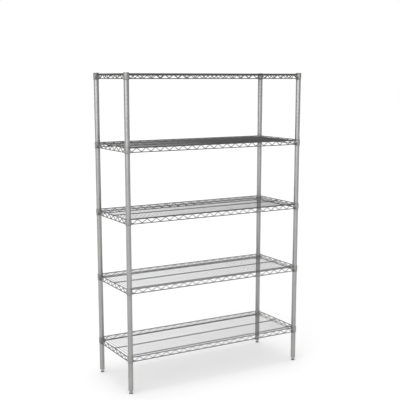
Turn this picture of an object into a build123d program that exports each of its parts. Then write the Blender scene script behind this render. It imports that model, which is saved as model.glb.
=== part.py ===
"""Wire shelving rack: four grooved round posts on levelling feet and five welded wire shelves.

Each shelf is a mat of front-to-back wires on three stringers, framed by four truss edges that
run between four corner collars. Wires that are welded sink a little into each other. A collar
wedges onto a split tapered sleeve, and the sleeve snaps into a groove of its post.

All lengths are millimetres. The origin is on the floor under the middle of the rack: +X runs
along the shelves, +Y from the front edge to the back edge and +Z up. A post, cap or foot is made
about the Z axis and a shelf's pieces are made with the bottom chord at height zero, and copies of
them are then moved to their places.
"""

import os

from build123d import *

# ---------------------------------------------------------------- driving dimensions
POST_SPACING_X = 1184.0      # between post centres, along the shelves
POST_SPACING_Y = 423.0       # between post centres, front to back
POST_R = 15.0
POST_WALL = 1.5
POST_BOTTOM = 21.0
POST_TOP = 1872.0
GROOVE_DEPTH = 0.4
GROOVE_WIDTH = 1.6

SHELF_COUNT = 5
SHELF_PITCH = 410.0
FIRST_SHELF = 198.5          # height of the lowest shelf's bottom chord
GROOVES_PER_PITCH = 16

CHORD_D = 5.0                # a truss's top and bottom wires, and the stringers
SNAKE_D = 4.0                # a truss's zigzag wire
MAT_D = 3.0                  # front-to-back wires
WELD = 0.4                   # how far welded wires sink into each other

TRUSS_HEIGHT = 27.0          # between the two chords' centre lines
TRUSS_OFFSET = 12.5          # from the line through the post centres out to the truss
SNAKE_PITCH = 60.0
SNAKE_BEND_R = 9.0
SNAKE_INSET = 1.6            # from a chord's centre line to the zigzag's corner points

MAT_PITCH = 20.0
MAT_SIDE_COUNT = 29          # wires on each side of the middle one
MAT_HEIGHT = 23.7            # mat wire centres above the bottom chord's
STRINGER_SPACING = 175.0
STRINGER_STEP = 10.0         # length over which a stringer's end steps up
STRINGER_BEND_R = 18.0

COLLAR_BELOW = 5.0           # from the collar's lower edge up to the bottom chord
COLLAR_HEIGHT = 36.0
COLLAR_R = 17.5
COLLAR_CHAMFER = 0.4
SLEEVE_BELOW = 7.0
SLEEVE_HEIGHT = 39.0
SLEEVE_TOP_R = 15.75
SLEEVE_BOTTOM_R = 16.3
SLEEVE_BOW = 0.04            # how far the taper's middle bulges from a straight cone
TAPER_STEPS = 10             # short cones that make up the bowed taper
SLEEVE_SLIT = 0.6
RIB_HEIGHT = 1.2
RIB_REACH = 0.3
FIT = 0.05                   # radial running clearance

CAP_R = 14.8
CAP_THICKNESS = 1.7
CAP_CHAMFER = 0.8
CAP_SKIRT = 14.0
INSERT_FLANGE = 3.0
INSERT_CHAMFER = 1.5
INSERT_LENGTH = 32.0
SCREW_R = 5.0
SCREW_TOP = 52.0
HEX_WIDTH = 17.0             # across flats
HEX_BOTTOM = 6.5
HEX_TOP = 11.0
PAD_R = 11.5
PAD_HEIGHT = 6.0
PAD_TOP_CHAMFER = 1.8
PAD_BOTTOM_CHAMFER = 0.5
PIVOT_R = 3.5
PIVOT_DEPTH = 4.0

# ---------------------------------------------------------------- worked-out dimensions
POST_X = POST_SPACING_X / 2
POST_Y = POST_SPACING_Y / 2
POST_BORE_R = POST_R - POST_WALL
TRUSS_X = POST_X + TRUSS_OFFSET
TRUSS_Y = POST_Y + TRUSS_OFFSET
GROOVE_PITCH = SHELF_PITCH / GROOVES_PER_PITCH
SLEEVE_TOP = SLEEVE_HEIGHT - SLEEVE_BELOW
SLEEVE_MIDDLE = SLEEVE_HEIGHT / 2 - SLEEVE_BELOW
STRINGER_HEIGHT = MAT_HEIGHT - MAT_D / 2 - CHORD_D / 2 + WELD
STRINGER_END_HEIGHT = TRUSS_HEIGHT - CHORD_D + WELD
MAT_HALF_LENGTH = TRUSS_Y - SNAKE_D / 2 + WELD

CORNERS = {
    "front_left": (-POST_X, -POST_Y),
    "front_right": (POST_X, -POST_Y),
    "back_left": (-POST_X, POST_Y),
    "back_right": (POST_X, POST_Y),
}
SHELF_HEIGHTS = [FIRST_SHELF + n * SHELF_PITCH for n in range(SHELF_COUNT)]


def save(part, name):
    """Label a finished piece and write it as one STEP file."""
    part.label = name
    export_step(part, f"parts/{name}.step")


def groove_heights():
    """Heights of the post's grooves, one of them at the rib of each shelf's sleeves."""
    first = FIRST_SHELF + SLEEVE_MIDDLE
    below = int((first - POST_BOTTOM) / GROOVE_PITCH - 0.5)
    above = int((POST_TOP - first) / GROOVE_PITCH)
    return [first + n * GROOVE_PITCH for n in range(-below, above + 1)]


# ---------------------------------------------------------------- posts, caps and feet
def make_post():
    """A round tube with a shallow groove round it at every step."""
    groove_floor = POST_R - GROOVE_DEPTH
    outline = [(POST_BORE_R, POST_BOTTOM), (POST_R, POST_BOTTOM)]
    for height in groove_heights():
        low = height - GROOVE_WIDTH / 2
        high = height + GROOVE_WIDTH / 2
        outline += [(POST_R, low), (groove_floor, low), (groove_floor, high), (POST_R, high)]
    outline += [(POST_R, POST_TOP), (POST_BORE_R, POST_TOP)]
    with BuildPart() as post:
        with BuildSketch(Plane.XZ):
            with BuildLine():
                Polyline(*outline, close=True)
            make_face()
        revolve(axis=Axis.Z)
    return post.part


def make_cap():
    """The plug that closes a post's top: a low disc and a hollow skirt inside the tube."""
    with BuildPart() as cap:
        with BuildSketch(Plane.XY.offset(POST_TOP)):
            Circle(CAP_R)
        extrude(amount=CAP_THICKNESS)
        chamfer(cap.edges().group_by(Axis.Z)[-1], CAP_CHAMFER)
        with BuildSketch(Plane.XY.offset(POST_TOP)):
            Circle(POST_BORE_R - FIT)
            Circle(POST_BORE_R - POST_WALL, mode=Mode.SUBTRACT)
        extrude(amount=-CAP_SKIRT)
    return cap.part


def make_insert():
    """The threaded plug pressed into a post's lower end, with a flange under the tube."""
    with BuildPart() as insert:
        with BuildSketch(Plane.XY.offset(POST_BOTTOM - INSERT_FLANGE)):
            Circle(POST_R)
        extrude(amount=INSERT_FLANGE)
        chamfer(insert.edges().group_by(Axis.Z)[0], INSERT_CHAMFER)
        with BuildSketch(Plane.XY.offset(POST_BOTTOM)):
            Circle(POST_BORE_R - FIT)
        extrude(amount=INSERT_LENGTH)
        with BuildSketch(Plane.XY.offset(POST_BOTTOM - INSERT_FLANGE)):
            Circle(SCREW_R + FIT)
        extrude(amount=INSERT_FLANGE + INSERT_LENGTH, mode=Mode.SUBTRACT)
    return insert.part


def make_stem():
    """The levelling screw: shank, spanner hexagon and the pivot that turns in the pad."""
    pivot_bottom = PAD_HEIGHT - PIVOT_DEPTH + FIT
    with BuildPart() as stem:
        with BuildSketch(Plane.XY.offset(HEX_TOP)):
            Circle(SCREW_R)
        extrude(amount=SCREW_TOP - HEX_TOP)
        chamfer(stem.edges().group_by(Axis.Z)[-1], 1.0)
        with BuildSketch(Plane.XY.offset(HEX_BOTTOM)):
            RegularPolygon(HEX_WIDTH / 2, 6, major_radius=False)
        extrude(amount=HEX_TOP - HEX_BOTTOM)
        with BuildSketch(Plane.XY.offset(pivot_bottom)):
            Circle(PIVOT_R)
        extrude(amount=HEX_BOTTOM - pivot_bottom)
    return stem.part


def make_pad():
    """The round foot that stands on the floor, with a socket for the screw's pivot."""
    with BuildPart() as pad:
        with BuildSketch(Plane.XY):
            Circle(PAD_R)
        extrude(amount=PAD_HEIGHT)
        chamfer(pad.edges().group_by(Axis.Z)[-1], PAD_TOP_CHAMFER)
        chamfer(pad.edges().group_by(Axis.Z)[0], PAD_BOTTOM_CHAMFER)
        with BuildSketch(Plane.XY.offset(PAD_HEIGHT)):
            Circle(PIVOT_R + FIT)
        extrude(amount=-PIVOT_DEPTH, mode=Mode.SUBTRACT)
    return pad.part


# ---------------------------------------------------------------- sleeves and collars
def taper_points(bottom, top, gap):
    """Profile points up the bowed taper on which a collar wedges onto its sleeve."""
    between = [n * SLEEVE_HEIGHT / TAPER_STEPS - SLEEVE_BELOW for n in range(1, TAPER_STEPS)]
    points = []
    for height in (bottom, *between, top):
        share = (height + SLEEVE_BELOW) / SLEEVE_HEIGHT
        straight = SLEEVE_BOTTOM_R + (SLEEVE_TOP_R - SLEEVE_BOTTOM_R) * share
        points.append((straight + 4 * SLEEVE_BOW * share * (1 - share) + gap, height))
    return points


def make_sleeve():
    """A tapered sleeve in two halves, each with a rib that sits in the post's groove."""
    bore = POST_R + FIT
    rib = POST_R - RIB_REACH
    with BuildPart() as sleeve:
        with BuildSketch(Plane.XZ):
            with BuildLine():
                Polyline(
                    (bore, -SLEEVE_BELOW),
                    *taper_points(-SLEEVE_BELOW, SLEEVE_TOP, gap=0),
                    (bore, SLEEVE_TOP),
                    (bore, SLEEVE_MIDDLE + RIB_HEIGHT / 2),
                    (rib, SLEEVE_MIDDLE + RIB_HEIGHT / 2),
                    (rib, SLEEVE_MIDDLE - RIB_HEIGHT / 2),
                    (bore, SLEEVE_MIDDLE - RIB_HEIGHT / 2),
                    close=True,
                )
            make_face()
        revolve(axis=Axis.Z)
        with Locations((0, 0, SLEEVE_MIDDLE)):
            Box(3 * POST_R, SLEEVE_SLIT, 2 * SLEEVE_HEIGHT, mode=Mode.SUBTRACT)
    return sleeve.part


def make_collar():
    """A corner collar: a short tube whose tapered bore wedges onto the sleeve."""
    bottom = -COLLAR_BELOW
    top = COLLAR_HEIGHT - COLLAR_BELOW
    with BuildPart() as collar:
        with BuildSketch(Plane.XZ):
            with BuildLine():
                Polyline(
                    *taper_points(bottom, top, gap=FIT),
                    (COLLAR_R, top),
                    (COLLAR_R, bottom),
                    close=True,
                )
            make_face()
        revolve(axis=Axis.Z)
        rims = collar.edges().filter_by(GeomType.CIRCLE).sort_by(SortBy.RADIUS)[-2:]
        chamfer(rims, COLLAR_CHAMFER)
    return collar.part


def at_end(piece, x):
    """One part that holds a copy of a piece at the two corners of one end of the rack."""
    with BuildPart() as pair:
        with Locations((x, -POST_Y), (x, POST_Y)):
            add(piece)
    return pair.part


# ---------------------------------------------------------------- welded wire parts
def make_trusses(planes, half_span, bottom_at_middle):
    """A pair of facing truss edges, each of two chords and a zigzag, trimmed to their collars.

    A plane's X runs along its truss, its Y is up and its Z points away from the rack.
    """
    step = SNAKE_PITCH / 2
    count = round(half_span / step)
    corners = []
    for n in range(-count, count + 1):
        at_bottom = (n % 2 == 0) == bottom_at_middle
        corners.append((n * step, SNAKE_INSET if at_bottom else TRUSS_HEIGHT - SNAKE_INSET))
    with BuildPart() as trusses:
        for plane in planes:
            for height in (0, TRUSS_HEIGHT):
                end = plane.from_local_coords(Vector(-half_span, height, 0))
                with BuildSketch(Plane(origin=end, z_dir=plane.x_dir)):
                    Circle(CHORD_D / 2)
                extrude(amount=2 * half_span)
            with BuildLine(plane) as path:
                FilletPolyline(*corners, radius=SNAKE_BEND_R)
            with BuildSketch(Plane(origin=path.line @ 0, z_dir=path.line % 0)):
                Circle(SNAKE_D / 2)
            sweep(path=path.line)
        with Locations(*CORNERS.values()):
            Cylinder(COLLAR_R - WELD / 2, 6 * TRUSS_HEIGHT, mode=Mode.SUBTRACT)
    return trusses.part


def make_mat_wires():
    """The deck's front-to-back wires. The outermost one at each end stops at the collars."""
    inner = range(1 - MAT_SIDE_COUNT, MAT_SIDE_COUNT)
    outer = (-MAT_SIDE_COUNT, MAT_SIDE_COUNT)
    with BuildPart() as wires:
        for numbers, half_length in ((inner, MAT_HALF_LENGTH), (outer, POST_Y)):
            with BuildSketch(Plane.XZ.offset(-half_length)):
                with Locations(*[(n * MAT_PITCH, MAT_HEIGHT) for n in numbers]):
                    Circle(MAT_D / 2)
            extrude(amount=2 * half_length)
        with Locations(*[(x, y, MAT_HEIGHT) for x, y in CORNERS.values()]):
            Cylinder(COLLAR_R - WELD / 2, COLLAR_HEIGHT, mode=Mode.SUBTRACT)
    return wires.part


def make_stringers():
    """Three lengthwise wires under the deck, which carry it.

    Their ends step up to meet the undersides of the end trusses' top chords.
    """
    bend = MAT_SIDE_COUNT * MAT_PITCH + CHORD_D
    half_profile = [
        (bend, STRINGER_HEIGHT),
        (bend + STRINGER_STEP, STRINGER_END_HEIGHT),
        (TRUSS_X, STRINGER_END_HEIGHT),
    ]
    profile = [(-x, height) for x, height in reversed(half_profile)] + half_profile
    with BuildPart() as stringers:
        for y in (-STRINGER_SPACING, 0, STRINGER_SPACING):
            with BuildLine(Plane.XZ.offset(-y)) as path:
                FilletPolyline(*profile, radius=STRINGER_BEND_R)
            with BuildSketch(Plane(origin=path.line @ 0, z_dir=path.line % 0)):
                Circle(CHORD_D / 2)
            sweep(path=path.line)
    return stringers.part


# ---------------------------------------------------------------- the whole rack
os.makedirs("parts", exist_ok=True)

post_pieces = {
    "post": make_post(),
    "post_cap": make_cap(),
    "post_insert": make_insert(),
    "foot_stem": make_stem(),
    "foot_pad": make_pad(),
}
for corner, (x, y) in CORNERS.items():
    for kind, piece in post_pieces.items():
        save(piece.moved(Pos(x, y, 0)), f"{kind}_{corner}")

front = Plane(origin=(0, -TRUSS_Y, 0), x_dir=(1, 0, 0), z_dir=(0, -1, 0))
back = Plane(origin=(0, TRUSS_Y, 0), x_dir=(-1, 0, 0), z_dir=(0, 1, 0))
left = Plane(origin=(-TRUSS_X, 0, 0), x_dir=(0, -1, 0), z_dir=(-1, 0, 0))
right = Plane(origin=(TRUSS_X, 0, 0), x_dir=(0, 1, 0), z_dir=(1, 0, 0))
shelf_pieces = {
    "mat_wires": make_mat_wires(),
    "stringers": make_stringers(),
    "long_trusses": make_trusses((front, back), POST_X, bottom_at_middle=False),
    "end_trusses": make_trusses((left, right), POST_Y, bottom_at_middle=True),
    "left_collars": at_end(make_collar(), -POST_X),
    "right_collars": at_end(make_collar(), POST_X),
    "left_sleeves": at_end(make_sleeve(), -POST_X),
    "right_sleeves": at_end(make_sleeve(), POST_X),
}
for number, height in enumerate(SHELF_HEIGHTS, start=1):
    for kind, piece in shelf_pieces.items():
        save(piece.moved(Pos(0, 0, height)), f"shelf_{number}_{kind}")
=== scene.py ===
"""Looks of the wire shelving rack: fine wire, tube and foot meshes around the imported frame."""

import math

import bpy
import numpy as np
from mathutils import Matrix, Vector


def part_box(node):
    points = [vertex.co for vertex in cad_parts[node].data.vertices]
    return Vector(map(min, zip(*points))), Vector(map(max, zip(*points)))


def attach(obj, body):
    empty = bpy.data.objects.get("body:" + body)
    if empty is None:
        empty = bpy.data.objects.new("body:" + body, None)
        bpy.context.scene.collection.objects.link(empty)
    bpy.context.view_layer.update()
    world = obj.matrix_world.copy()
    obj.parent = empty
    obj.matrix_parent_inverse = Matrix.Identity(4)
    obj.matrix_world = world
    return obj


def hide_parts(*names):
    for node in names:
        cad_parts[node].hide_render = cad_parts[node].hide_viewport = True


MM = 0.001

# ---------------------------------------------------------------- sizes, in metres
CHORD_R = 2.5 * MM
SNAKE_R = 2.0 * MM
MAT_R = 1.5 * MM
WELD = 0.4 * MM              # how far welded wires sink into each other
SNAKE_STEP = 30.0 * MM       # half the zigzag's pitch
SNAKE_BEND_R = 9.0 * MM
SNAKE_INSET = 1.6 * MM
MAT_PITCH = 20.0 * MM
STRINGER_STEP = 10.0 * MM
STRINGER_BEND_R = 18.0 * MM
STRINGER_SPACING = 175.0 * MM
GROOVE_PITCH = 410.0 / 16 * MM
GROOVE_DEPTH = 0.4 * MM
GROOVE_WIDTH = 1.6 * MM
POST_R = 15.0 * MM
POST_BORE_R = 13.5 * MM
SKIRT_GAP = 0.05 * MM        # between the post's bore and what is pushed into it
CAP_WALL = 1.5 * MM
CAP_FLOOR = 0.5 * MM         # from the post's end down to the underside of the cap's plate
PLUG_BORE_R = 5.05 * MM
PLUG_CHAMFER = 1.5 * MM
COLLAR_WALL_LOW = 1.21 * MM
COLLAR_WALL_HIGH = 1.68 * MM
SNAKE_WELD = (5.0 * MM, 1.9 * MM, 1.3 * MM)     # half lengths along the chord, across and up
DECK_WELD = (2.0 * MM, 2.4 * MM, 0.9 * MM)      # half lengths along X, Y and Z
THREAD_PITCH = 1.5 * MM
THREAD_DEPTH = 0.75 * MM
THREAD_RUNOUT = 1.2 * MM     # the tapered start at the screw's upper end
SCREW_R = 5.0 * MM
HEX_LOW = 6.5 * MM
HEX_HIGH = 11.0 * MM
HEX_FLAT = 8.5 * MM          # from the axis to a flat
HEX_CHAMFER = 0.7 * MM
JOINING = 0.3 * MM           # how far the thread and the pivot run into the hexagon
PIVOT_R = 3.5 * MM
SOCKET_R = 3.55 * MM
SOCKET_DEPTH = 4.0 * MM
SHELF_COUNT = 5
CORNERS = ("front_left", "front_right", "back_left", "back_right")

WIRE_SIDES = 16
ROUND_SIDES = 64
THREAD_SIDES = 32
HEX_SIDES = 60
PIVOT_SIDES = 32
NUGGET_ROWS = 5
NUGGET_SIDES = 8
ARC_STEPS = 8
THREAD_ROWS = 8              # rings of vertices in one turn of the thread
END_ROUND = 0.35             # a free wire end's rounding, in wire radii
END_MIDDLE = 0.3             # where the rounding's middle ring lies, as a share of it
ARC_MIDDLE = 0.29            # a rounded corner's middle point, as a share of the cut
GROOVE_SHAPE = (             # heights in groove widths, and depths
    (-1.2, 0.0), (-0.5, 0.0), (-0.36, GROOVE_DEPTH),
    (0.36, GROOVE_DEPTH), (0.5, 0.0), (1.2, 0.0))

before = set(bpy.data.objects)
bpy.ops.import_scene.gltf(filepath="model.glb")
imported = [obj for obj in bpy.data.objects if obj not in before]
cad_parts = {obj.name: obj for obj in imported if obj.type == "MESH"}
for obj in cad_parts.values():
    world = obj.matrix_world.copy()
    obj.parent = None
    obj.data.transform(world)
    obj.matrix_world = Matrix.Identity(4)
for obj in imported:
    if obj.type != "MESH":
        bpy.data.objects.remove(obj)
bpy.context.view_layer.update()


# ---------------------------------------------------------------- mesh building
def make_object(name, parts, material):
    """One smooth-shaded mesh object from a list of (vertices, faces) pairs."""
    vertices, faces, start = [], [], 0
    for part_vertices, part_faces in parts:
        vertices.extend(map(tuple, part_vertices))
        faces.extend(tuple(i + start for i in face) for face in part_faces)
        start += len(part_vertices)
    mesh = bpy.data.meshes.new(name)
    mesh.from_pydata(vertices, [], faces)
    mesh.validate()
    mesh.shade_smooth()
    mesh.materials.append(material)
    item = bpy.data.objects.new(name, mesh)
    bpy.context.scene.collection.objects.link(item)
    return item


def skin(rings):
    """Vertices and faces of the surface through closed rings, with both ends capped."""
    count = len(rings[0])
    vertices = np.concatenate(rings)
    faces = [tuple(reversed(range(count)))]
    for r in range(len(rings) - 1):
        low, high = r * count, (r + 1) * count
        for i in range(count):
            j = (i + 1) % count
            faces.append((low + i, low + j, high + j, high + i))
    faces.append(tuple(range((len(rings) - 1) * count, len(rings) * count)))
    return vertices, faces


def rounded(points, radius):
    """A polyline's points with each inner corner replaced by points on an arc."""
    points = [np.array(p, float) for p in points]
    path = [points[0]]
    for before, corner, after in zip(points, points[1:], points[2:]):
        inward = (before - corner) / np.linalg.norm(before - corner)
        onward = (after - corner) / np.linalg.norm(after - corner)
        half = math.acos(np.clip(inward @ onward, -1, 1)) / 2
        bisector = (inward + onward) / np.linalg.norm(inward + onward)
        centre = corner + bisector * radius / math.sin(half)
        start = corner + inward * radius / math.tan(half) - centre
        end = corner + onward * radius / math.tan(half) - centre
        sweep = math.pi - 2 * half
        for step in range(ARC_STEPS + 1):
            t = step / ARC_STEPS
            mix = math.sin((1 - t) * sweep) * start + math.sin(t * sweep) * end
            path.append(centre + mix / math.sin(sweep))
    path.append(points[-1])
    return path


def tube(path, radius, across, trims=(None, None)):
    """A round wire along a flat path. across is the normal of the path's plane.

    An end is rounded off, or where a trim (centre, radius) is given it is cut to fit the upright
    cylinder there.
    """
    path = np.array(path, float)
    across = np.array(across, float)
    tangents = np.gradient(path, axis=0)
    tangents[0] = path[1] - path[0]
    tangents[-1] = path[-1] - path[-2]
    tangents /= np.linalg.norm(tangents, axis=1)[:, None]
    angles = np.arange(WIRE_SIDES) * 2 * math.pi / WIRE_SIDES
    circle = np.stack([np.cos(angles), np.sin(angles)], axis=1)

    def ring(point, tangent, size):
        upward = np.cross(tangent, across)
        return point + size * (circle[:, :1] * upward + circle[:, 1:] * across)

    rings = [ring(p, t, radius) for p, t in zip(path, tangents)]
    rings[0] = finish_end(rings[0], path[0], -tangents[0], radius, trims[0])
    rings[-1] = finish_end(rings[-1], path[-1], tangents[-1], radius, trims[1])
    rings = rings[0][::-1] + rings[1:-1] + rings[-1]
    return skin(rings)


def finish_end(last, point, outward, radius, trim):
    """The rings that close a wire's end, beginning with its last full one."""
    if trim is None:
        soft = END_ROUND * radius
        shoulder = last - outward * soft
        tip = point + (last - point) * (1 - soft / radius)
        narrowed = point + (last - point) * (1 - END_MIDDLE * soft / radius)
        return [shoulder, narrowed - outward * END_MIDDLE * soft, tip]
    centre, reach = trim
    ahead = np.array([outward[0], outward[1]])
    cut = []
    for vertex in last:
        away = vertex[:2] - np.array(centre)
        a = ahead @ ahead
        b = away @ ahead
        c = away @ away - reach * reach
        travel = (-b - math.sqrt(max(b * b - a * c, 0.0))) / a
        cut.append(vertex + outward * travel)
    return [last, np.array(cut)]


def lathe(profile, centre, sides=ROUND_SIDES, closed=True):
    """The surface of a profile of (radius, height) points turned about an upright axis.

    A closed profile makes a ring. An open one starts and ends near the axis and is capped there.
    """
    angles = np.arange(sides) * 2 * math.pi / sides
    vertices, faces = [], []
    for radius, height in profile:
        for angle in angles:
            x = centre[0] + radius * math.cos(angle)
            y = centre[1] + radius * math.sin(angle)
            vertices.append((x, y, height))
    rows = len(profile)
    for r in range(rows if closed else rows - 1):
        low, high = r * sides, (r + 1) % rows * sides
        for i in range(sides):
            j = (i + 1) % sides
            faces.append((low + i, low + j, high + j, high + i))
    if not closed:
        faces.append(tuple(reversed(range(sides))))
        faces.append(tuple(range((rows - 1) * sides, rows * sides)))
    return vertices, faces


def softened(profile, radius, closed=True):
    """A profile with its corners cut twice, so that they catch the light as small rounds."""
    count = len(profile)
    result = []
    for n, corner in enumerate(profile):
        if not closed and n in (0, count - 1):
            result.append(corner)
            continue
        corner = np.array(corner)
        before = np.array(profile[n - 1]) - corner
        after = np.array(profile[(n + 1) % count]) - corner
        reach = min(radius, 0.4 * np.linalg.norm(before), 0.4 * np.linalg.norm(after))
        before = before / np.linalg.norm(before) * reach
        after = after / np.linalg.norm(after) * reach
        result.append(tuple(corner + before))
        result.append(tuple(corner + ARC_MIDDLE * (before + after)))
        result.append(tuple(corner + after))
    return result


def nugget(spot, size):
    """A small flattened ball of weld metal. size holds its half lengths."""
    angles = np.arange(NUGGET_SIDES) * 2 * math.pi / NUGGET_SIDES
    rings = []
    for row in range(1, NUGGET_ROWS + 1):
        tilt = row * math.pi / (NUGGET_ROWS + 1)
        ring = np.stack([np.cos(angles) * math.sin(tilt), np.sin(angles) * math.sin(tilt),
                         np.full(NUGGET_SIDES, -math.cos(tilt))], axis=1)
        rings.append(np.array(spot) + ring * np.array(size))
    return skin(rings)


# ---------------------------------------------------------------- materials
MOTTLE = 9.0                 # broad blotches per metre
RELIEF = 0.2 * MM            # bump height at full strength


def node(tree, kind, **values):
    """A shader node with its input sockets set by name."""
    item = tree.nodes.new(kind)
    for key, value in values.items():
        item.inputs[key.replace("_", " ")].default_value = value
    return item


def ranged(tree, source, low, high):
    """A noise value spread over low to high."""
    item = node(tree, "ShaderNodeMapRange", From_Min=0.3, From_Max=0.7, To_Min=low, To_Max=high)
    tree.links.new(source, item.inputs["Value"])
    return item.outputs["Result"]


def surface(name, dark, light, roughness, metallic, grain, stretch, bump, specular=0.5):
    """A mottled, finely grained surface. grain is in features per metre, stretch along Z."""
    material = bpy.data.materials.new(name)
    material.use_nodes = True
    tree = material.node_tree
    shader = tree.nodes["Principled BSDF"]
    shader.inputs["Metallic"].default_value = metallic
    shader.inputs["Specular IOR Level"].default_value = specular
    coordinates = node(tree, "ShaderNodeTexCoord")
    mapping = node(tree, "ShaderNodeMapping", Scale=(1, 1, stretch))
    tree.links.new(coordinates.outputs["Object"], mapping.inputs["Vector"])
    broad = node(tree, "ShaderNodeTexNoise", Scale=MOTTLE, Detail=3.0, Roughness=0.6)
    tree.links.new(coordinates.outputs["Object"], broad.inputs["Vector"])
    fine = node(tree, "ShaderNodeTexNoise", Scale=grain, Detail=4.0, Roughness=0.65)
    tree.links.new(mapping.outputs["Vector"], fine.inputs["Vector"])
    blend = tree.nodes.new("ShaderNodeMix")
    blend.data_type = "FLOAT"
    blend.inputs["Factor"].default_value = 0.5
    tree.links.new(broad.outputs["Fac"], blend.inputs["A"])
    tree.links.new(fine.outputs["Fac"], blend.inputs["B"])
    ramp = tree.nodes.new("ShaderNodeValToRGB")
    ramp.color_ramp.elements[0].position = 0.35
    ramp.color_ramp.elements[1].position = 0.65
    ramp.color_ramp.elements[0].color = (*dark, 1)
    ramp.color_ramp.elements[1].color = (*light, 1)
    tree.links.new(blend.outputs["Result"], ramp.inputs["Fac"])
    tree.links.new(ramp.outputs["Color"], shader.inputs["Base Color"])
    tree.links.new(ranged(tree, fine.outputs["Fac"], *roughness), shader.inputs["Roughness"])
    relief = node(tree, "ShaderNodeBump", Strength=bump, Distance=RELIEF)
    tree.links.new(fine.outputs["Fac"], relief.inputs["Height"])
    tree.links.new(relief.outputs["Normal"], shader.inputs["Normal"])
    return material


def grey(value):
    """A neutral colour, very slightly warm."""
    return (value * 1.01, value, value * 0.985)


DARK_WIRE = dict(roughness=(0.36, 0.48), metallic=0.35, grain=700, stretch=0.3, bump=0.15,
                 specular=0.3)
PLASTIC = dict(metallic=0.0, stretch=1.0)

post_steel = surface("post_steel", grey(0.31), grey(0.37), roughness=(0.24, 0.34), metallic=0.85,
                     grain=900, stretch=0.08, bump=0.12)
# The wires are the same steel as the posts, but their colour is set far darker: painted shade
# standing in for the dim light that the horizontal wires reflect.
chord_steel_painted_shade = surface("chord_steel_painted_shade", grey(0.065), grey(0.10), **DARK_WIRE)
mat_steel_painted_shade = surface("mat_steel_painted_shade", grey(0.055), grey(0.09), **DARK_WIRE)
collar_steel = surface("collar_steel", grey(0.26), grey(0.32), roughness=(0.34, 0.48),
                       metallic=0.7, grain=800, stretch=0.5, bump=0.15)
fitting_steel = surface("fitting_steel", grey(0.42), grey(0.52), roughness=(0.28, 0.42),
                        metallic=0.9, grain=900, stretch=0.5, bump=0.15)
cap_plastic = surface("cap_plastic", grey(0.34), grey(0.40), roughness=(0.45, 0.58), grain=500,
                      bump=0.2, **PLASTIC)
pad_plastic = surface("pad_plastic", grey(0.12), grey(0.17), roughness=(0.5, 0.65), grain=600,
                      bump=0.3, **PLASTIC)
sleeve_plastic = surface("sleeve_plastic", grey(0.05), grey(0.07), roughness=(0.4, 0.55),
                         grain=600, bump=0.2, **PLASTIC)


# ---------------------------------------------------------------- places read from the frame
def middle(box):
    """The centre point of a box."""
    return (box[0] + box[1]) / 2


post_boxes = {corner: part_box(f"post_{corner}") for corner in CORNERS}
posts = {corner: middle(box).to_2d() for corner, box in post_boxes.items()}
post_x = posts["front_right"].x
post_y = posts["back_right"].y
collar_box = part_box("shelf_1_right_collars")
collar_r = collar_box[1].x - post_x
trim_r = collar_r - WELD / 2
long_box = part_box("shelf_1_long_trusses")
truss_y = long_box[1].y - CHORD_R
truss_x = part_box("shelf_1_end_trusses")[1].x - CHORD_R
bottom_chord = long_box[0].z + CHORD_R
top_chord = long_box[1].z - CHORD_R
wires_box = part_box("shelf_1_mat_wires")
mat_height = middle(wires_box).z
mat_half = wires_box[1].y
mat_count = round((wires_box[1].x - MAT_R) / MAT_PITCH)
stringer_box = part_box("shelf_1_stringers")
stringer_low = stringer_box[0].z + CHORD_R
stringer_high = stringer_box[1].z - CHORD_R
stringer_end = stringer_box[1].x
shelf_lift = {n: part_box(f"shelf_{n}_right_collars")[0].z - collar_box[0].z
              for n in range(1, SHELF_COUNT + 1)}


# ---------------------------------------------------------------- shelf wires
def truss_parts(along, start_across, half_span, bottom_at_middle):
    """Chords, zigzag and welds of one truss edge, as mesh parts.

    along is the truss's direction in plan, start_across its offset from the rack's middle, and
    half_span runs from its middle to the post's centre line.
    """
    along = np.array([*along, 0.0])
    outward = np.array([*start_across, 0.0])
    across = outward / np.linalg.norm(outward)
    inset = np.linalg.norm(outward) - (truss_y - post_y)
    posts_at = [across * inset + along * side * half_span for side in (-1, 1)]
    trims = [(tuple(p[:2]), trim_r) for p in posts_at]
    short = half_span - collar_r

    def at(distance, height):
        return outward + along * distance + np.array([0, 0, height])

    parts = []
    for height in (bottom_chord, top_chord):
        path = [at(-short, height), at(short, height)]
        parts.append(tube(path, CHORD_R, across, trims))
    count = round(half_span / SNAKE_STEP)
    corners = []
    for n in range(-count, count + 1):
        low = (n % 2 == 0) == bottom_at_middle
        height = bottom_chord + SNAKE_INSET if low else top_chord - SNAKE_INSET
        corners.append((n * SNAKE_STEP, height))
    share = (short - corners[-2][0]) / SNAKE_STEP
    for end, inner in ((0, 1), (-1, -2)):
        height = corners[inner][1] + share * (corners[end][1] - corners[inner][1])
        corners[end] = (math.copysign(short, corners[end][0]), height)
    path = rounded([at(*c) for c in corners], SNAKE_BEND_R)
    parts.append(tube(path, SNAKE_R, across, trims))
    size = (np.abs(along) * SNAKE_WELD[0] + np.abs(across) * SNAKE_WELD[1]
            + np.array([0, 0, SNAKE_WELD[2]]))
    for distance, height in corners[1:-1]:
        low = height < (bottom_chord + top_chord) / 2
        weld = bottom_chord + CHORD_R if low else top_chord - CHORD_R
        parts.append(nugget(at(distance, weld), size))
    return parts


def deck_wire_parts():
    """The front-to-back wires, the outermost ones trimmed to the collars."""
    parts = []
    for n in range(-mat_count, mat_count + 1):
        x = n * MAT_PITCH
        if abs(n) == mat_count:
            reach = post_y - collar_r
            side = math.copysign(post_x, n)
            trims = [((side, -post_y), trim_r), ((side, post_y), trim_r)]
        else:
            reach = mat_half
            trims = (None, None)
        path = [(x, -reach, mat_height), (x, reach, mat_height)]
        parts.append(tube(path, MAT_R, (1, 0, 0), trims))
    return parts


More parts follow.
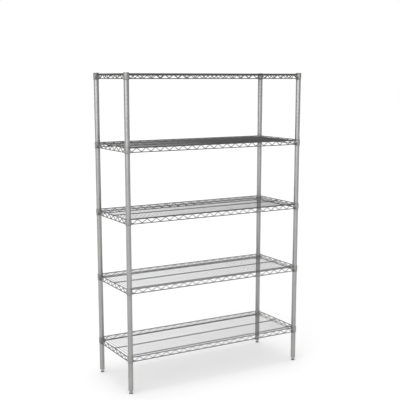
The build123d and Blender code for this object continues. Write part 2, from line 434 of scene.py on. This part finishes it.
def stringer_parts():
    """The three lengthwise wires with their stepped ends, and the welds to the deck wires."""
    parts = []
    bend = mat_count * MAT_PITCH + 2 * CHORD_R
    for y in (-STRINGER_SPACING, 0, STRINGER_SPACING):
        half = [(bend, stringer_low), (bend + STRINGER_STEP, stringer_high),
                (stringer_end, stringer_high)]
        profile = [(-x, z) for x, z in reversed(half)] + half
        path = rounded([(x, y, z) for x, z in profile], STRINGER_BEND_R)
        parts.append(tube(path, CHORD_R, (0, 1, 0)))
        for n in range(-mat_count, mat_count + 1):
            spot = (n * MAT_PITCH, y, stringer_low + CHORD_R - WELD / 2)
            parts.append(nugget(spot, DECK_WELD))
    return parts


def collar_parts(x):
    """The two corner collars at one end of a shelf, with rounded rims and tapered bores."""
    low, high = collar_box[0].z, collar_box[1].z
    parts = []
    for y in (-post_y, post_y):
        profile = [(collar_r - COLLAR_WALL_LOW, low), (collar_r, low), (collar_r, high),
                   (collar_r - COLLAR_WALL_HIGH, high)]
        parts.append(lathe(softened(profile, 0.6 * MM), (x, y)))
    return parts


# ---------------------------------------------------------------- posts and feet
def post_parts(corner):
    """A post's tube, with a softly edged groove at every step."""
    low, high = post_boxes[corner][0].z, post_boxes[corner][1].z
    groove = middle(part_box("shelf_1_left_sleeves")).z
    while groove - GROOVE_PITCH > low + GROOVE_PITCH / 2:
        groove -= GROOVE_PITCH
    profile = [(POST_BORE_R, low), (POST_R, low)]
    while groove < high:
        for height, depth in GROOVE_SHAPE:
            profile.append((POST_R - depth, groove + height * GROOVE_WIDTH))
        groove += GROOVE_PITCH
    profile += [(POST_R, high), (POST_BORE_R, high)]
    return [lathe(softened(profile, 0.25 * MM), posts[corner])]


def cap_parts(corner):
    """The post's end cap: a low dome with a rounded rim and the skirt inside the tube."""
    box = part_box(f"post_cap_{corner}")
    low, high = box[0].z, box[1].z
    seat = post_boxes[corner][1].z
    radius = box[1].x - posts[corner].x
    skirt = POST_BORE_R - SKIRT_GAP
    underside = seat - CAP_FLOOR
    profile = [(0.5 * MM, high), (0.5 * radius, high - 0.1 * MM),
               (0.85 * radius, high - 0.45 * MM), (radius, high - 1.1 * MM), (radius, seat),
               (skirt, seat), (skirt, low), (skirt - CAP_WALL, low),
               (skirt - CAP_WALL, underside), (0.5 * MM, underside)]
    return [lathe(softened(profile, 0.3 * MM, closed=False), posts[corner], closed=False)]


def insert_parts(corner):
    """The threaded plug in the post's lower end, with its chamfered flange."""
    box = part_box(f"post_insert_{corner}")
    low, high = box[0].z, box[1].z
    seat = post_boxes[corner][0].z
    skirt = POST_BORE_R - SKIRT_GAP
    profile = [(PLUG_BORE_R, low), (POST_R - PLUG_CHAMFER, low), (POST_R, low + PLUG_CHAMFER),
               (POST_R, seat), (skirt, seat), (skirt, high), (PLUG_BORE_R, high)]
    return [lathe(softened(profile, 0.3 * MM), posts[corner])]


def pad_parts(corner):
    """The foot: a moulded disc with a crowned top and a socket for the pivot."""
    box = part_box(f"foot_pad_{corner}")
    radius = box[1].x - posts[corner].x
    high = box[1].z
    socket_floor = high - SOCKET_DEPTH
    profile = [(0.4 * MM, 0.0), (radius - 0.5 * MM, 0.0), (radius, 0.5 * MM),
               (radius, high - 2.6 * MM), (radius - 1.8 * MM, high - 0.5 * MM),
               (SOCKET_R + 1.5 * MM, high), (SOCKET_R, high), (SOCKET_R, socket_floor),
               (0.4 * MM, socket_floor)]
    return [lathe(softened(profile, 0.35 * MM, closed=False), posts[corner], closed=False)]


def turned_ring(centre, radii, height):
    """One ring of points about an upright axis, a radius for each."""
    angles = [i * 2 * math.pi / len(radii) for i in range(len(radii))]
    return np.array([(centre.x + radius * math.cos(angle), centre.y + radius * math.sin(angle),
                      height) for radius, angle in zip(radii, angles)])


def thread_part(centre, high):
    """The screw's helical thread, from just inside the hexagon up to its tapered start."""
    low = HEX_HIGH - JOINING
    count = int((high - HEX_HIGH) / (THREAD_PITCH / THREAD_ROWS))
    rings = []
    for row in range(count + 1):
        height = low + row * (high - low) / count
        end = min(1.0, (high - height) / THREAD_RUNOUT)
        radii = []
        for i in range(THREAD_SIDES):
            phase = (height / THREAD_PITCH - i / THREAD_SIDES) % 1.0
            depth = THREAD_DEPTH * (1 - min(abs(2 * phase - 1) * 1.25, 1.0))
            radii.append((SCREW_R - depth) * (0.8 + 0.2 * end))
        rings.append(turned_ring(centre, radii, height))
    return skin(rings)


def hexagon_part(centre):
    """The hexagon under the thread, its corners chamfered above and below."""
    corner_r = HEX_FLAT / math.cos(math.pi / 6)
    rings = []
    for radius, height in ((HEX_FLAT * 0.95, HEX_LOW), (corner_r, HEX_LOW + HEX_CHAMFER),
                           (corner_r, HEX_HIGH - HEX_CHAMFER), (HEX_FLAT * 0.95, HEX_HIGH)):
        radii = []
        for i in range(HEX_SIDES):
            angle = i * 2 * math.pi / HEX_SIDES
            off_corner = (angle + math.pi / 6) % (math.pi / 3) - math.pi / 6
            radii.append(min(radius, HEX_FLAT / math.cos(off_corner)))
        rings.append(turned_ring(centre, radii, height))
    return skin(rings)


def stem_parts(corner):
    """The levelling screw: helical thread, chamfered hexagon and pivot."""
    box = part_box(f"foot_stem_{corner}")
    low, high = box[0].z, box[1].z
    centre = posts[corner]
    pivot = [(0.3 * MM, low), (PIVOT_R, low), (PIVOT_R, HEX_LOW + JOINING),
             (0.3 * MM, HEX_LOW + JOINING)]
    pivot_part = lathe(softened(pivot, 0.3 * MM, closed=False), centre, PIVOT_SIDES, closed=False)
    return [thread_part(centre, high), hexagon_part(centre), pivot_part]


# ---------------------------------------------------------------- building the pieces
def place(name, parts, material, body, stands_for):
    """Make a piece, let it ride on its body and stand for its CAD node."""
    item = make_object(name, parts, material)
    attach(item, body)
    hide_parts(stands_for)
    return item


long_trusses = [part for y in (-truss_y, truss_y)
                for part in truss_parts((1, 0), (0, y), post_x, bottom_at_middle=False)]
end_trusses = [part for x in (-truss_x, truss_x)
               for part in truss_parts((0, 1), (x, 0), post_y, bottom_at_middle=True)]
kinds = {
    "mat_wires": (deck_wire_parts(), mat_steel_painted_shade, "mat_wire"),
    "stringers": (stringer_parts(), chord_steel_painted_shade, "truss_wire"),
    "long_trusses": (long_trusses, chord_steel_painted_shade, "truss_wire"),
    "end_trusses": (end_trusses, chord_steel_painted_shade, "truss_wire"),
    "left_collars": (collar_parts(-post_x), collar_steel, "collar_steel"),
    "right_collars": (collar_parts(post_x), collar_steel, "collar_steel"),
}
for kind, (parts, material, slot) in kinds.items():
    first = place(f"shelf_1_{kind}_piece", parts, material, "shelf_1", f"shelf_1_{kind}")
    for number in range(2, SHELF_COUNT + 1):
        raised = bpy.data.objects.new(f"shelf_{number}_{kind}_piece", first.data)
        bpy.context.scene.collection.objects.link(raised)
        raised.location = (0, 0, shelf_lift[number])
        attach(raised, f"shelf_{number}")
        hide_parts(f"shelf_{number}_{kind}")

for corner in CORNERS:
    place(f"tube_{corner}", post_parts(corner), post_steel, "posts", f"post_{corner}")
    place(f"cap_{corner}", cap_parts(corner), cap_plastic, "posts",
          f"post_cap_{corner}")
    place(f"plug_{corner}", insert_parts(corner), fitting_steel, "posts",
          f"post_insert_{corner}")
    place(f"pad_{corner}", pad_parts(corner), pad_plastic, f"pad_{corner}",
          f"foot_pad_{corner}")
    place(f"screw_{corner}", stem_parts(corner), fitting_steel, f"screw_{corner}",
          f"foot_stem_{corner}")

for number in range(1, SHELF_COUNT + 1):
    for end in ("left", "right"):
        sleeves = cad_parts[f"shelf_{number}_{end}_sleeves"]
        sleeves.data.materials.clear()
        sleeves.data.materials.append(sleeve_plastic)


# ---------------------------------------------------------------- studio
FLOOR_REACH = 30
FLOOR_PAINT = (0.8, 0.8, 0.8, 1)
FLOOR_LIFT = 0.25            # emission that lifts the lit floor to near white
WHITE = (1, 1, 1, 1)
FRONT_GLOW = Vector((-0.78, -0.63, 0.05)).normalized()
GLOW_EDGE = 0.5              # cosine of the angle from FRONT_GLOW at which the glow sets in
GLOW_DIM = 0.42
GLOW_BRIGHT = 3.0
SUN_DIRECTION = (0.0, -0.02, -1.0)
SUN_ANGLE = 18
SUN_STRENGTH = 1.1
CAMERA_PLACE = (-2.5563, -4.4186, 1.8426)
CAMERA_YAW = 0.525
CAMERA_PITCH = 0.1718
SENSOR_WIDTH = 36.0
FOCAL_LENGTH = 73.99
SHIFT_Y = 0.0512


def make_floor():
    """A plain pale matt floor, lifted to near white by a little emission."""
    r = FLOOR_REACH
    mesh = bpy.data.meshes.new("floor")
    mesh.from_pydata([(-r, -r, 0), (r, -r, 0), (r, r, 0), (-r, r, 0)], [], [(0, 1, 2, 3)])
    item = bpy.data.objects.new("floor", mesh)
    bpy.context.scene.collection.objects.link(item)
    material = bpy.data.materials.new("floor")
    material.use_nodes = True
    shader = material.node_tree.nodes["Principled BSDF"]
    shader.inputs["Roughness"].default_value = 1.0
    shader.inputs["Specular IOR Level"].default_value = 0.0
    shader.inputs["Base Color"].default_value = FLOOR_PAINT
    shader.inputs["Emission Color"].default_value = WHITE
    shader.inputs["Emission Strength"].default_value = FLOOR_LIFT
    mesh.materials.append(material)


def make_world():
    """White to the eye, and brightest on the front side for the steel to reflect."""
    world = bpy.data.worlds.new("studio")
    bpy.context.scene.world = world
    world.use_nodes = True
    tree = world.node_tree
    background = tree.nodes["Background"]
    coordinates = node(tree, "ShaderNodeTexCoord")
    facing = node(tree, "ShaderNodeVectorMath")
    facing.operation = "DOT_PRODUCT"
    facing.inputs[1].default_value = FRONT_GLOW
    tree.links.new(coordinates.outputs["Generated"], facing.inputs[0])
    glow = node(tree, "ShaderNodeMapRange", From_Min=GLOW_EDGE, From_Max=1.0, To_Min=GLOW_DIM,
                To_Max=GLOW_BRIGHT)
    glow.interpolation_type = "SMOOTHSTEP"
    tree.links.new(facing.outputs["Value"], glow.inputs["Value"])
    rays = tree.nodes.new("ShaderNodeLightPath")
    pick = tree.nodes.new("ShaderNodeMix")
    pick.data_type = "FLOAT"
    pick.inputs["B"].default_value = 1.0
    tree.links.new(rays.outputs["Is Camera Ray"], pick.inputs["Factor"])
    tree.links.new(glow.outputs["Result"], pick.inputs["A"])
    tree.links.new(pick.outputs["Result"], background.inputs["Strength"])
    background.inputs["Color"].default_value = WHITE


def make_light():
    """A broad soft light that shines from far away, almost straight down."""
    lamp = bpy.data.lights.new("overhead", "SUN")
    lamp.angle = math.radians(SUN_ANGLE)
    lamp.energy = SUN_STRENGTH
    item = bpy.data.objects.new("overhead", lamp)
    item.rotation_euler = Vector(SUN_DIRECTION).to_track_quat("-Z", "Y").to_euler()
    bpy.context.scene.collection.objects.link(item)


def make_camera():
    """A camera at the photograph's viewing angle, with its frame shifted like the photograph's."""
    camera = bpy.data.objects.new("camera", bpy.data.cameras.new("camera"))
    camera.data.sensor_width = SENSOR_WIDTH
    camera.data.lens = FOCAL_LENGTH
    camera.data.shift_y = SHIFT_Y
    camera.location = CAMERA_PLACE
    level = math.cos(CAMERA_PITCH)
    view = Vector((math.sin(CAMERA_YAW) * level, math.cos(CAMERA_YAW) * level,
                   -math.sin(CAMERA_PITCH)))
    camera.rotation_euler = view.to_track_quat("-Z", "Y").to_euler()
    bpy.context.scene.collection.objects.link(camera)
    bpy.context.scene.camera = camera


make_floor()
make_world()
make_light()
make_camera()
bpy.context.scene.view_settings.view_transform = "Standard"
